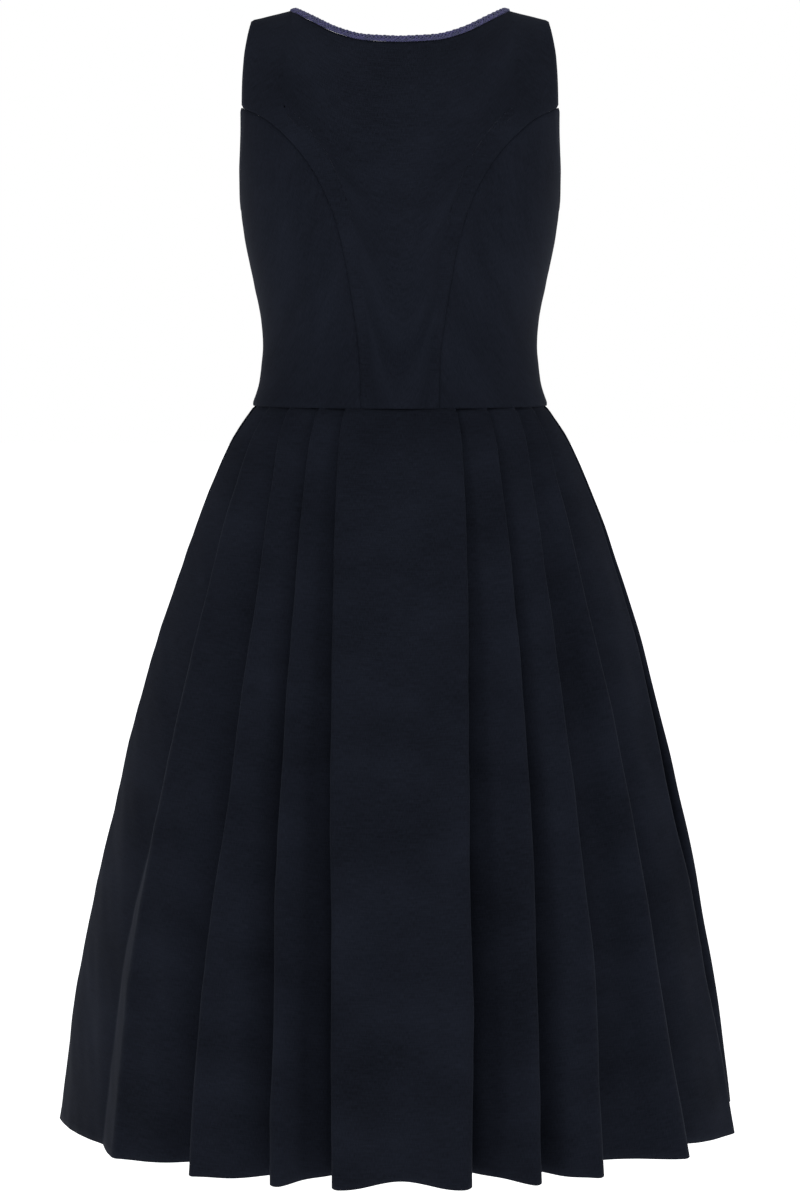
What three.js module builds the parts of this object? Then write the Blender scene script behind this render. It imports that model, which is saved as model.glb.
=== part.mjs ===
// Dirndl, worn shape, hollow. Millimetres; +Z up, +Y the wearer's front, +X the wearer's right.
// Origin: midway between the two points where the shoulder seams meet the neckline.
// Every cloth piece is a sheet: a mid-surface grid, moved WALL/2 out and WALL/2 in along its normals, closed by rims.
import * as THREE from "three";

const WALL = 1.0; // cloth, with its turned edges, in mm
const SEAM = 0.3; // two pieces stand this far apart at a seam
const DEG = Math.PI / 180;
const Z = { waist: -367, hem: -1046, underarm: -178, armNotch: -91, frontNotch: -103 };

// ---- smooth curve through the rows of a short table (monotone between rows) ----
function curve(rows) {
  const xs = rows.map((r) => r[0]), ys = rows.map((r) => r[1]), n = xs.length;
  const slope = xs.slice(1).map((x, i) => (ys[i + 1] - ys[i]) / (x - xs[i]));
  const m = xs.map((_, i) => {
    if (i === 0) return slope[0];
    if (i === n - 1) return slope[n - 2];
    const a = slope[i - 1], b = slope[i];
    return a * b <= 0 ? 0 : (2 * a * b) / (a + b);
  });
  return (x) => {
    if (x <= xs[0]) return ys[0];
    if (x >= xs[n - 1]) return ys[n - 1];
    let i = 0;
    while (x > xs[i + 1]) i++;
    const h = xs[i + 1] - xs[i], t = (x - xs[i]) / h, u = 1 - t;
    return (
      ys[i] * (1 + 2 * t) * u * u + m[i] * h * t * u * u +
      ys[i + 1] * t * t * (3 - 2 * t) - m[i + 1] * h * t * t * u
    );
  };
}
const lerp = (a, b, t) => a + (b - a) * t;
const clamp = (x, a, b) => Math.min(b, Math.max(a, x));

// ---- the bodice form: half width, depth behind, depth in front, squareness, by height ----
const halfWidth = curve([[-367, 139], [-343, 131.4], [-310, 128.6], [-287, 130.3], [-249, 137.5], [-212, 145], [-175, 149.4], [-119, 153], [-60, 156], [0, 156]]);
const backLow = curve([[-367, 98], [-340, 93], [-310, 92], [-260, 99], [-210, 108], [-165, 113]]);
const frontLow = curve([[-367, 97], [-340, 93], [-310, 93], [-270, 106], [-240, 118], [-215, 122]]);
const backSquare = curve([[-367, 2], [-310, 2.1], [-200, 2.5], [-150, 2.6], [0, 2.6]]);
const frontSquare = curve([[-367, 2], [-310, 2.1], [-260, 2.45], [-215, 2.85], [-150, 2.6], [0, 2.6]]);
const NECK_X = 102, TIP_X = 139, SLOPE = Math.tan(14.5 * DEG), ROUND = 80;
const middle = (x) => Math.hypot(x, 40);
const rise = (x) => (middle(NECK_X) - middle(x)) * SLOPE; // the shoulders fall outward
const share = (q) => { const t = clamp((q + 120) / 120, 0, 1); return t * t * (3 - 2 * t); };
const depthAt = (q, front) => {
  const low = front ? -215 : -165;
  if (q <= low) return (front ? frontLow : backLow)(q);
  const u = Math.pow((q - low) / -low, front ? 1.2 : 1.6);
  return (front ? 122 : 113) * Math.sqrt(Math.max(0, 1 - u));
};
const squareAt = (q, front) => (front ? frontSquare : backSquare)(q);
// level q is the height before the shoulders fall; tau is q stretched so that it runs evenly over the shoulder
const levelOf = (x, z) => { let q = z; for (let i = 0; i < 30; i++) q = z - share(q) * rise(x); return Math.min(0, q); };
const heightOf = (x, q) => q + share(q) * rise(x);
const tauOf = (q) => -Math.sqrt(q * q - ROUND * q);
const levelOfTau = (t) => -(Math.sqrt((ROUND * ROUND) / 4 + t * t) - ROUND / 2);
const yAt = (x, q, front) => {
  const n = squareAt(q, front), k = Math.max(0, 1 - Math.pow(Math.abs(x) / halfWidth(q), n));
  return (front ? 1 : -1) * depthAt(q, front) * Math.pow(k, 1 / n);
};
const formXQ = (x, q, front) => new THREE.Vector3(x, yAt(x, q, front), heightOf(x, q));
// the same form by angle: 0 centre back, 90 side, 180 centre front
const formAngle = (deg, q) => {
  const front = deg > 90, n = squareAt(q, front), s = Math.sin(deg * DEG), c = Math.cos(deg * DEG);
  const r = Math.pow(Math.pow(Math.abs(c) / depthAt(q, front), n) + Math.pow(Math.abs(s) / halfWidth(q), n), -1 / n);
  return new THREE.Vector3(r * s, -r * c, heightOf(r * s, q));
};
const angleOf = (x, q, front) => Math.atan2(x, -yAt(x, q, front)) / DEG;
function outward(p, front) {
  const at = (x, y, z) => {
    const q = levelOf(x, z), n = squareAt(q, front);
    return Math.pow(Math.abs(x) / halfWidth(q), n) + Math.pow(Math.abs(y) / Math.max(1e-6, depthAt(q, front)), n);
  };
  const q = levelOf(p.x, p.z);
  if (q > -0.3) return new THREE.Vector3((SLOPE * p.x) / middle(p.x), 0, 1).normalize();
  const h = Math.min(0.05, -q / 6);
  return new THREE.Vector3(
    at(p.x + h, p.y, p.z) - at(p.x - h, p.y, p.z),
    at(p.x, p.y + h, p.z) - at(p.x, p.y - h, p.z),
    at(p.x, p.y, p.z + h) - at(p.x, p.y, p.z - h),
  ).normalize();
}

// ---- seam and edge lines of the bodice, right half ----
const backPrincess = curve([[-367, 36], [-319, 37.5], [-275, 43], [-241, 48.5], [-212, 54.5], [-188, 61.5], [-166, 71], [-147, 82], [-132, 93], [-117, 107], [-103, 124], [-91, 146.8]]);
const backArmhole = curve([[-91, 146.8], [-60, 146.4], [-36, 145.2], [-18, 142.6], [0, 139]]);
const backNeck = curve([[0, -33], [33, -31], [58, -24], [84, -10.5], [102, 0]]);
const frontPrincess = curve([[-367, 50], [-340, 51.5], [-310, 56], [-270, 68], [-235, 82], [-212, 89], [-185, 97], [-155, 107], [-125, 118], [-103, 127]]);
const frontArmhole = curve([[-103, 127], [-78, 127.6], [-50, 131], [-24, 135.4], [0, 139]]);
// under the arm the armhole is a quarter of an oval on each side: u 0 at the notch, 1 at the side seam
const armholeLow = (notch, under, u) => {
  const g = u * 90 * DEG;
  return [lerp(notch[0], 90, 1 - Math.cos(g)), lerp(notch[1], under, Math.sin(g))];
};
const NECK_DEEP = 165;

// ---- a sheet from a grid of mid-surface points; normals[i][j] may be given ----
const skin = new THREE.MeshStandardMaterial({ color: 0x1b1f2b, roughness: 0.92 });
const trim = new THREE.MeshStandardMaterial({ color: 0x2b2d5e, roughness: 0.8 });
const root = new THREE.Group();
function meshOf(name, points, faces, material) {
  const g = new THREE.BufferGeometry();
  g.setAttribute("position", new THREE.Float32BufferAttribute(points.flatMap((p) => [p.x, p.y, p.z]), 3));
  g.setIndex(faces.flat());
  g.computeVertexNormals();
  const mesh = new THREE.Mesh(g, material);
  mesh.name = name;
  root.add(mesh);
}
// rows go down the cloth, columns go round it the way the angle grows, so the outside is row step x column step
function sheet(name, grid, normals) {
  const R = grid.length, C = grid[0].length;
  const at = (i, j) => grid[clamp(i, 0, R - 1)][clamp(j, 0, C - 1)];
  const normal = (i, j) =>
    new THREE.Vector3().subVectors(at(i + 1, j), at(i - 1, j))
      .cross(new THREE.Vector3().subVectors(at(i, j + 1), at(i, j - 1))).normalize();
  const points = [], faces = [];
  for (const side of [1, -1])
    for (let i = 0; i < R; i++)
      for (let j = 0; j < C; j++)
        points.push(grid[i][j].clone().addScaledVector(normals ? normals[i][j] : normal(i, j), (side * WALL) / 2));
  const id = (side, i, j) => side * R * C + i * C + j;
  const quad = (a, b, c, d) => faces.push([a, b, c], [a, c, d]);
  for (let i = 0; i + 1 < R; i++)
    for (let j = 0; j + 1 < C; j++) {
      quad(id(0, i, j), id(0, i + 1, j), id(0, i + 1, j + 1), id(0, i, j + 1));
      quad(id(1, i, j), id(1, i, j + 1), id(1, i + 1, j + 1), id(1, i + 1, j));
    }
  for (let j = 0; j + 1 < C; j++) {
    quad(id(0, 0, j), id(0, 0, j + 1), id(1, 0, j + 1), id(1, 0, j));
    quad(id(0, R - 1, j + 1), id(0, R - 1, j), id(1, R - 1, j), id(1, R - 1, j + 1));
  }
  for (let i = 0; i + 1 < R; i++) {
    quad(id(0, i + 1, 0), id(0, i, 0), id(1, i, 0), id(1, i + 1, 0));
    quad(id(0, i, C - 1), id(0, i + 1, C - 1), id(1, i + 1, C - 1), id(1, i, C - 1));
  }
  meshOf(name, points, faces, skin);
}
// Moves the named edges of a grid half the seam gap into the piece.
function inset(grid, edges) {
  const R = grid.length, C = grid[0].length, out = grid.map((r) => r.map((p) => p.clone()));
  const shift = (i, j, di, dj) => {
    const along = new THREE.Vector3().subVectors(
      grid[clamp(i + dj, 0, R - 1)][clamp(j + di, 0, C - 1)], grid[clamp(i - dj, 0, R - 1)][clamp(j - di, 0, C - 1)]).normalize();
    const into = new THREE.Vector3().subVectors(grid[i + di][j + dj], grid[i][j]);
    into.addScaledVector(along, -into.dot(along)).normalize();
    out[i][j].addScaledVector(into, SEAM / 2);
  };
  if (edges.includes("top")) for (let j = 0; j < C; j++) shift(0, j, 1, 0);
  if (edges.includes("bottom")) for (let j = 0; j < C; j++) shift(R - 1, j, -1, 0);
  if (edges.includes("first")) for (let i = 0; i < R; i++) shift(i, 0, 0, 1);
  if (edges.includes("last")) for (let i = 0; i < R; i++) shift(i, C - 1, 0, -1);
  return out;
}
// The piece on the other side of the body: the same grid, x turned over, columns reversed.
const mirror = (grid) => grid.map((row) => row.map((p) => new THREE.Vector3(-p.x, p.y, p.z)).reverse());
const normalsOf = (grid, front) => grid.map((row) => row.map((p) => outward(p, front)));

// ---- bodice, back centre: from princess seam to princess seam, up to neckline and shoulder seams ----
const waistTau = tauOf(Z.waist);
const seamRows = [0, 0.13, 0.25, 0.37, 0.48, 0.58, 0.67, 0.76, 0.85, 0.93, 1]; // waist to armhole notch
{
  const notch = tauOf(levelOf(146.8, Z.armNotch));
  const low = seamRows.map((f) => lerp(waistTau, notch, f));
  const high = [0.24, 0.48, 0.7, 0.87, 1].map((f) => lerp(notch, 0, f));
  const rows = [...low, ...high].reverse();
  const part = NECK_X / TIP_X;
  const half = [0, 0.2, 0.4, 0.58, part, 0.87, 1];
  const across = [...half.slice(1).reverse().map((u) => -u), ...half];
  const grid = rows.map((t) => {
    const q = levelOfTau(t), z = heightOf(146, q);
    const edge = z > Z.armNotch + 1e-6 ? backArmhole(q) : backPrincess(z);
    return across.map((u) => {
      const xTop = Math.abs(u) * TIP_X;
      const top = Math.abs(u) < part ? tauOf(levelOf(xTop, backNeck(xTop))) : 0;
      const tt = lerp(waistTau, top, (t - waistTau) / -waistTau);
      return formXQ(u * edge, levelOfTau(tt), false);
    });
  });
  const placed = inset(grid, ["top", "bottom", "first", "last"]);
  sheet("bodice_back_centre", placed, normalsOf(grid, false));
}

// ---- a four-sided patch in (angle, tau), filled from its four border lines ----
function patch(left, right, top, bottom, us, vs) {
  return vs.map((v) => us.map((u) => {
    const L = left(v), R = right(v), T = top(u), B = bottom(u);
    const c = [top(0), top(1), bottom(0), bottom(1)];
    return [0, 1].map((k) =>
      lerp(L[k], R[k], u) + lerp(T[k], B[k], v) -
      lerp(lerp(c[0][k], c[1][k], u), lerp(c[2][k], c[3][k], u), v));
  }));
}
// ---- bodice, back side: princess seam to side seam, armhole above ----
{
  const notchTau = tauOf(levelOf(146.8, Z.armNotch)), underTau = tauOf(Z.underarm);
  const seam = (v) => {
    const t = lerp(notchTau, waistTau, v), q = levelOfTau(t), x = backPrincess(heightOf(146, q));
    return [angleOf(x, q, false), t];
  };
  const notch = seam(0);
  const grid = patch(
    seam,
    (v) => [90, lerp(underTau, waistTau, v)],
    (u) => armholeLow(notch, underTau, u),
    (u) => [lerp(seam(1)[0], 90, u), waistTau],
    [0, 0.18, 0.38, 0.6, 0.8, 1],
    seamRows.map((f) => 1 - f).reverse(),
  ).map((row) => row.map(([a, t]) => formAngle(a, levelOfTau(t))));
  const placed = inset(grid, ["bottom", "first", "last"]);
  const normals = normalsOf(grid, false);
  sheet("bodice_back_side_right", placed, normals);
  sheet("bodice_back_side_left", mirror(placed), normals.map((r) => r.map((n) => new THREE.Vector3(-n.x, n.y, n.z)).reverse()));
}
// ---- bodice, front side: side seam to front princess seam, over the bust ----
const frontRows = [0, 0.12, 0.24, 0.35, 0.46, 0.56, 0.66, 0.76, 0.88, 1];
const frontSeam = (f) => {
  // f 0 at the waist, 1 at the armhole notch: (x, tau) along the front princess seam
  const t = lerp(waistTau, tauOf(levelOf(127, Z.frontNotch)), f), q = levelOfTau(t);
  return [frontPrincess(heightOf(120, q)), t];
};
{
  const underTau = tauOf(Z.underarm);
  const seam = (v) => { const [x, t] = frontSeam(1 - v); return [angleOf(x, levelOfTau(t), true), t]; };
  const notch = seam(0);
  const grid = patch(
    (v) => [90, lerp(underTau, waistTau, v)],
    seam,
    (u) => armholeLow(notch, underTau, 1 - u),
    (u) => [lerp(90, seam(1)[0], u), waistTau],
    [0, 0.2, 0.4, 0.6, 0.8, 1],
    frontRows.map((f) => 1 - f).reverse(),
  ).map((row) => row.map(([a, t]) => formAngle(a, levelOfTau(t))));
  const placed = inset(grid, ["bottom", "first", "last"]);
  const normals = normalsOf(grid, true);
  sheet("bodice_front_side_right", placed, normals);
  sheet("bodice_front_side_left", mirror(placed), normals.map((r) => r.map((n) => new THREE.Vector3(-n.x, n.y, n.z)).reverse()));
}
// ---- neckline in front: a squarish U from the shoulder seam (share 0) to the centre front (share 1) ----
const frontNeck = (f) => {
  const a = f * 90 * DEG, e = 2 / 2.6;
  return [NECK_X * Math.pow(Math.cos(a), e), -NECK_DEEP * Math.pow(Math.sin(a), e)];
};
// ---- bodice, front centre: princess seam and strap to the neckline and the centre-front closing ----
{
  const corner = tauOf(levelOf(0, -NECK_DEEP));
  const notch = frontSeam(1);
  const RV = [0, 0.1, 0.2, 0.29, 0.38, 0.46, 0.54, 0.62, 0.72, 0.84, 1]; // strap rows then body rows, measured from the shoulder
  const strap = 0.4, edge = 0.58; // share of the rows that belongs to the armhole, and to the neckline
  const seam = (v) => {
    if (v > strap) return frontSeam(1 - (v - strap) / (1 - strap));
    const t = lerp(0, notch[1], v / strap);
    return [frontArmhole(levelOfTau(t)), t];
  };
  const centre = (v) => {
    if (v >= edge) return [0, lerp(corner, waistTau, (v - edge) / (1 - edge))];
    const [x, z] = frontNeck(Math.pow(v / edge, 0.9));
    return [Math.max(0, x), tauOf(levelOf(Math.max(0, x), z))];
  };
  const vs = [0, 0.06, 0.13, 0.21, 0.3, 0.4, 0.46, 0.52, 0.58, 0.65, 0.72, 0.79, 0.86, 0.93, 1];
  const grid = patch(
    seam,
    centre,
    (u) => [lerp(TIP_X, NECK_X, u), 0],
    (u) => [lerp(seam(1)[0], 0, u), waistTau],
    [0, 0.22, 0.45, 0.65, 0.83, 1],
    vs,
  ).map((row) => row.map(([x, t]) => formXQ(x, levelOfTau(t), true)));
  const placed = inset(grid, ["top", "bottom", "first"]);
  // the closing edge stands half a gap from the middle plane
  placed.forEach((row, i) => { if (vs[i] >= edge - 1e-9) row[row.length - 1].x = SEAM / 2; });
  const normals = normalsOf(grid, true);
  sheet("bodice_front_centre_right", placed, normals);
  sheet("bodice_front_centre_left", mirror(placed), normals.map((r) => r.map((n) => new THREE.Vector3(-n.x, n.y, n.z)).reverse()));
}

// ---- neck braid: one strip round the neckline, made from the panels' points moved out ----
const BRAID = { width: 6.5, thick: 2.0, lift: 0.3 };
{
  const path = [];
  const add = (x, z, front) => {
    const p = formXQ(x, levelOf(x, z), front);
    path.push({ p, n: outward(p, front) });
  };
  const fs = [1, 0.93, 0.86, 0.79, 0.72, 0.66, 0.6, 0.54, 0.48, 0.41, 0.33, 0.25, 0.17, 0.1, 0.05];
  for (const f of fs) { const [x, z] = frontNeck(f); add(Math.max(0.5, x), z, true); }
  const half = [...fs.map((_, i) => path[i])];
  path.length = 0;
  const back = [102, 98, 93, 87, 80, 72, 63, 53, 42, 30, 16];
  const right = [...half];
  for (const x of back) add(x, backNeck(x), false);
  right.push(...path);
  path.length = 0;
  add(0, backNeck(0), false);
  const left = right.map(({ p, n }) => ({ p: new THREE.Vector3(-p.x, p.y, p.z), n: new THREE.Vector3(-n.x, n.y, n.z) })).reverse();
  const line = [...right, ...path, ...left];
  const points = [], faces = [];
  line.forEach(({ p, n }, i) => {
    const a = line[Math.max(0, i - 1)].p, b = line[Math.min(line.length - 1, i + 1)].p;
    const along = new THREE.Vector3().subVectors(b, a).normalize();
    if (i === 0 || i === line.length - 1) along.set(Math.sign(b.x - a.x), 0, 0); // square ends at the centre front
    const into = new THREE.Vector3().crossVectors(along, n).normalize(); // away from the opening
    const low = WALL / 2 + BRAID.lift, high = low + BRAID.thick;
    for (const [w, h] of [[-0.6, low], [BRAID.width - 0.6, low], [BRAID.width - 0.6, high], [-0.6, high]])
      points.push(p.clone().addScaledVector(into, w).addScaledVector(n, h));
  });
  const N = line.length;
  for (let i = 0; i + 1 < N; i++)
    for (let k = 0; k < 4; k++) {
      const a = i * 4 + k, b = i * 4 + ((k + 1) % 4), c = a + 4, d = b + 4;
      faces.push([a, c, b], [b, c, d]);
    }
  faces.push([0, 1, 2], [0, 2, 3], [4 * N - 4, 4 * N - 2, 4 * N - 3], [4 * N - 4, 4 * N - 1, 4 * N - 2]);
  meshOf("neck_braid", points, faces, trim);
}

// ---- skirt ----
const skirtHalf = curve([[-1046, 326.5], [-938, 310.5], [-821, 290.2], [-744, 272.7], [-667, 253.8], [-590, 233], [-514, 208.4], [-476, 195.2], [-438, 179.6], [-400, 161.6], [-385, 152], [-367, 139]]);
const skirtDepth = curve([[-1046, 284], [-821, 247], [-667, 211], [-514, 166], [-438, 137.5], [-400, 119.5], [-367, 98]]);
const STATIONS = [-367, -440, -560, -720, -870, -1046];
// One row for each fold: the angle of its ridge at each station, then its depth, its roll and how far its valley lies under it, at the hem.
const FOLD = ["waist", "hip", "upper", "middle", "low", "hem", "depth", "roll", "tuck"];
const right = [
  [21.8, 19.0, 16.0, 13.6, 12.6, 11.4, 40, 9, 7],
  [35.3, 31.2, 28.3, 26.2, 24.4, 23.2, 33, 7, 7],
  [50.0, 42.6, 38.5, 36.6, 35.9, 34.2, 42, 6, 7],
  [62.0, 54.6, 51.8, 52.1, 52.2, 54.5, 36, 7, 7],
  [76.0, 75.0, 73.6, 69.5, 71.5, 75.5, 32, 8, 7],
  [99.0, 98.5, 98.0, 97.6, 97.6, 98.0, 32, 8, 7],
  [113.0, 114.0, 116.0, 118.0, 118.0, 117.0, 35, 8, 7],
  [127.0, 130.0, 133.0, 135.0, 136.0, 136.0, 38, 7, 7],
  [142.0, 146.0, 149.0, 151.0, 152.0, 153.0, 33, 8, 7],
  [158.4, 162.0, 165.0, 167.0, 168.0, 168.6, 37, 8, 7],
];
const left = [
  [21.4, 18.7, 15.8, 13.5, 12.0, 10.9, 34, 7, 7],
  [32.8, 29.1, 25.8, 23.9, 22.2, 20.7, 28, 6, 7],
  [47.6, 40.8, 36.9, 36.0, 36.4, 35.8, 38, 5, 7],
  [61.3, 58.2, 55.7, 56.8, 57.3, 56.2, 15, 14, -14],
  [75.0, 76.0, 80.0, 84.0, 86.0, 87.0, 28, 8, 7],
  [99.0, 99.0, 101.0, 103.0, 104.0, 105.0, 30, 8, 7],
  [112.6, 114.5, 117.5, 119.0, 120.5, 121.5, 34, 8, 7],
  [126.6, 129.0, 131.5, 133.0, 134.0, 134.0, 38, 7, 7],
  [142.4, 146.0, 148.5, 150.0, 150.5, 151.0, 34, 8, 7],
  [158.6, 162.0, 165.5, 167.5, 168.5, 169.4, 35, 8, 7],
];
const depthShare = curve([[-1046, 1], [-870, 0.86], [-720, 0.69], [-560, 0.46], [-440, 0.27], [-367, 0.13]]);
const rollAt = curve([[-1046, 1], [-870, 0.84], [-720, 0.62], [-560, 0.4], [-440, 0.24], [-367, 0]]);
const under = curve([[-560, 12], [-440, 13.5], [-367, 13]]);
const WAIST_DEPTH = 5.2, WAIST_ROLL = 0.8, CENTRE_BOW = 22;
function foldAt(row, z) {
  const f = Object.fromEntries(FOLD.map((k, i) => [k, row[i]]));
  const angle = curve(STATIONS.map((s, i) => [s, row[i]]).reverse())(z);
  const near = 1 - clamp((Z.waist - z) / 60, 0, 1); // close under the waist every fold is as deep as its layers need
  const depth = lerp(Math.max(f.depth, lerp(40, f.depth, clamp((Z.waist - z) / 500, 0, 1))) * depthShare(z), WAIST_DEPTH, near * near);
  const down = clamp((-440 - z) / 606, 0, 1), tuck = lerp(under(z), f.tuck, down * (2 - down));
  const most = tuck > 0 ? 0.46 * (tuck + depth - Math.sqrt(2 * tuck * depth)) : Infinity; // the two rolls of a fold stay apart
  return { angle, depth, roll: Math.min(most, Math.max(WAIST_ROLL, f.roll * rollAt(z))), under: tuck };
}
// the ring the folds ride on, at one height: arc length from the centre back
function ring(z) {
  const a = skirtHalf(z), b = skirtDepth(z), N = 360, s = [0];
  const at = (deg) => new THREE.Vector2(a * Math.sin(deg * DEG), -b * Math.cos(deg * DEG));
  for (let i = 1; i <= N; i++) s.push(s[i - 1] + at((i * 180) / N).distanceTo(at(((i - 1) * 180) / N)));
  const length = (deg) => { const t = (Math.abs(deg) / 180) * N, i = Math.min(N - 1, Math.floor(t)); return Math.sign(deg) * lerp(s[i], s[i + 1], t - i); };
  const angle = (len) => {
    let lo = 0, hi = N;
    const want = Math.abs(len);
    while (hi - lo > 1) { const m = (lo + hi) >> 1; if (s[m] <= want) lo = m; else hi = m; }
    return (Math.sign(len) * ((lo + (want - s[lo]) / (s[hi] - s[lo])) * 180)) / N;
  };
  const place = (len, out) => {
    const g = angle(len) * DEG, n = new THREE.Vector2(b * Math.sin(g), -a * Math.cos(g)).normalize();
    return new THREE.Vector2(a * Math.sin(g), -b * Math.cos(g)).addScaledVector(n, out);
  };
  return { length, place, half: s[N] };
}
// The cloth runs over ridge rolls (turning clockwise) and under valley rolls (counter-clockwise) like a belt.
function section(z) {
  const loop = ring(z), rolls = [];
  const push = (row, side, i) => {
    const f = foldAt(row, z), s = loop.length(f.angle), toFront = i < 5 ? 1 : -1; // fold edges face the side seam
    rolls.push(
      { s: side * (s - toFront * f.roll), r: -f.roll, q: -f.roll, kind: "ridge", i, side },
      { s: side * (s - toFront * (f.under - f.roll)), r: -f.depth + f.roll, q: f.roll, kind: "valley", i, side },
    );
  };
  right.forEach((row, i) => push(row, 1, i));
  left.forEach((row, i) => push(row, -1, i));
  // order along the cloth, from the left front edge round the back to the right front edge
  const order = (side, i) => {
    const pair = rolls.filter((c) => c.side === side && c.i === i);
    const ridgeFirst = (side > 0) === i < 5;
    return ridgeFirst ? pair : pair.reverse();
  };
  const belt = [];
  for (let i = 9; i >= 0; i--) belt.push(...order(-1, i));
  for (let i = 0; i <= 9; i++) belt.push(...order(1, i));
  const heading = (c, d) => {
    const dx = d.s - c.s, dy = d.r - c.r, e = d.q - c.q, D = Math.hypot(dx, dy);
    if (D <= Math.abs(e)) throw new Error(`rolls collide at ${z}: ${c.kind} ${c.side * c.i}`);
    return Math.atan2(dy, dx) - Math.atan2(e, Math.sqrt(D * D - e * e));
  };
  const on = (c, h) => [c.s + c.q * Math.sin(h), c.r - c.q * Math.cos(h)];
  const pieces = [[], [], []]; // front left, back, front right
  let current = 0;
  const bow = CENTRE_BOW * depthShare(z);
  const span = (from, to, shares, lift) => {
    const len = Math.hypot(to[0] - from[0], to[1] - from[1]);
    const u = [(to[0] - from[0]) / len, (to[1] - from[1]) / len];
    return shares.map((f) => {
      const b = lift * Math.sin(Math.PI * f) ** 2;
      return [from[0] + u[0] * f * len - u[1] * b, from[1] + u[1] * f * len + u[0] * b];
    });
  };
  // the half panels that meet at the centre front
  const half = loop.half - SEAM / 2;
  const first = belt[0], last = belt[belt.length - 1];
  const startHeading = Math.atan2(0, 1);
  const startPoint = [-half, first.r + -first.q * 1];
  let inHeading = startHeading;
  pieces[0].push(...span(startPoint, on(first, 0), [0, 0.35, 0.7], 0));
  belt.forEach((c, k) => {
    const next = belt[k + 1];
    let out = next ? heading(c, next) : 0;
    let turn = out - inHeading;
    if (c.q > 0) while (turn < 0) turn += 2 * Math.PI;
    else while (turn > 0) turn -= 2 * Math.PI;
    if (Math.abs(turn) > 1.9 * Math.PI) turn = 0;
    for (const f of [0, 0.5, 1]) pieces[current].push(on(c, inHeading + turn * f));
    if (next) {
      const from = on(c, out), to = on(next, out);
      if (c.kind === "valley" && next.kind === "valley") {
        // the side seam is in the bottom of the pleat
        const len = Math.hypot(to[0] - from[0], to[1] - from[1]), g = SEAM / 2 / len;
        pieces[current].push(...span(from, to, [0.5 - g], 0));
        current++;
        pieces[current].push(...span(from, to, [0.5 + g], 0));
      } else if (c.kind === "ridge" && next.kind === "ridge") {
        pieces[current].push(...span(from, to, [0.12, 0.27, 0.42, 0.58, 0.73, 0.88], -bow));
      } else if (c.side === next.side && c.i !== next.i) {
        pieces[current].push(...span(from, to, [0.33, 0.67], 0));
      }
    }
    inHeading = out;
  });
  pieces[2].push(...span(on(last, 0), [half, last.r - last.q], [0.3, 0.65, 1], 0));
  return pieces.map((list) => list.map(([s, r]) => ({ p: loop.place(s, r), r })));
}
{
  const levels = [0, 0.045, 0.105, 0.19, 0.31, 0.46, 0.64, 0.82, 1];
  const cut = levels.map((t) => section(lerp(Z.waist - SEAM / 2, Z.hem, t)));
  // the hem hangs a little higher where the cloth lies deeper
  const piece = (k) => cut.map((pieces, i) => {
    const z = lerp(Z.waist - SEAM / 2, Z.hem, levels[i]);
    return pieces[k].map(({ p, r }) => new THREE.Vector3(p.x, p.y, z - levels[i] * (2 + 0.14 * r)));
  });
  sheet("skirt_front_left", piece(0));
  sheet("skirt_back", piece(1));
  sheet("skirt_front_right", piece(2));
}

export default root;
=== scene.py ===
import math

import bpy
import numpy as np
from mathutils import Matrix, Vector


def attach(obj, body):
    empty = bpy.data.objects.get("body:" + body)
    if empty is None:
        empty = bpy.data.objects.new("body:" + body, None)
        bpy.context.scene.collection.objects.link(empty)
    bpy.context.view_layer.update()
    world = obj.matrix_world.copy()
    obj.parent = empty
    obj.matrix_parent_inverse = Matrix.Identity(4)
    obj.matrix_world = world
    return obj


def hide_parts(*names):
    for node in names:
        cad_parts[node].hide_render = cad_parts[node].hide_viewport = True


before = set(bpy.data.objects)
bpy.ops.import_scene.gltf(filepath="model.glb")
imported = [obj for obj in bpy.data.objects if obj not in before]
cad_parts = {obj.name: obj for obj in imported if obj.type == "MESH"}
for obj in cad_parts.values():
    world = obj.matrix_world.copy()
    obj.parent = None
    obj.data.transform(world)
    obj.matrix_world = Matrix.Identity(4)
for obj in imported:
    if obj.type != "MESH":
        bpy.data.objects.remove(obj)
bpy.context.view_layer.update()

# All sizes below are in millimetres; meshes are written in metres.
MM = 0.001
WAIST_Z, HEM_Z, UNDERARM_Z = -367.0, -1046.0, -178.0
BACK_NOTCH_Z, FRONT_NOTCH_Z = -91.0, -103.0
SEAM = 0.3
OUT, IN = 0.5, 0.4  # the cloth's two faces, measured from its middle
DEG = math.pi / 180


# ---------------------------------------------------------------- small helpers
def curve(rows):
    """A smooth line through a short table, monotone between its rows."""
    xs = np.array([r[0] for r in rows], float)
    ys = np.array([r[1] for r in rows], float)
    step = np.diff(ys) / np.diff(xs)
    m = np.zeros(len(xs))
    m[0], m[-1] = step[0], step[-1]
    for k in range(1, len(xs) - 1):
        a, b = step[k - 1], step[k]
        m[k] = 0 if a * b <= 0 else 2 * a * b / (a + b)

    def at(x):
        x = np.clip(np.asarray(x, float), xs[0], xs[-1])
        i = np.clip(np.searchsorted(xs, x, side="right") - 1, 0, len(xs) - 2)
        h = xs[i + 1] - xs[i]
        t = (x - xs[i]) / h
        u = 1 - t
        return (
            ys[i] * (1 + 2 * t) * u * u
            + m[i] * h * t * u * u
            + ys[i + 1] * t * t * (3 - 2 * t)
            - m[i + 1] * h * t * t * u
        )

    return at


def smooth(t):
    t = np.clip(t, 0, 1)
    return t * t * (3 - 2 * t)


def lerp(a, b, t):
    return a + (b - a) * t


def unit(v):
    return v / np.maximum(np.linalg.norm(v, axis=-1, keepdims=True), 1e-9)


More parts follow.
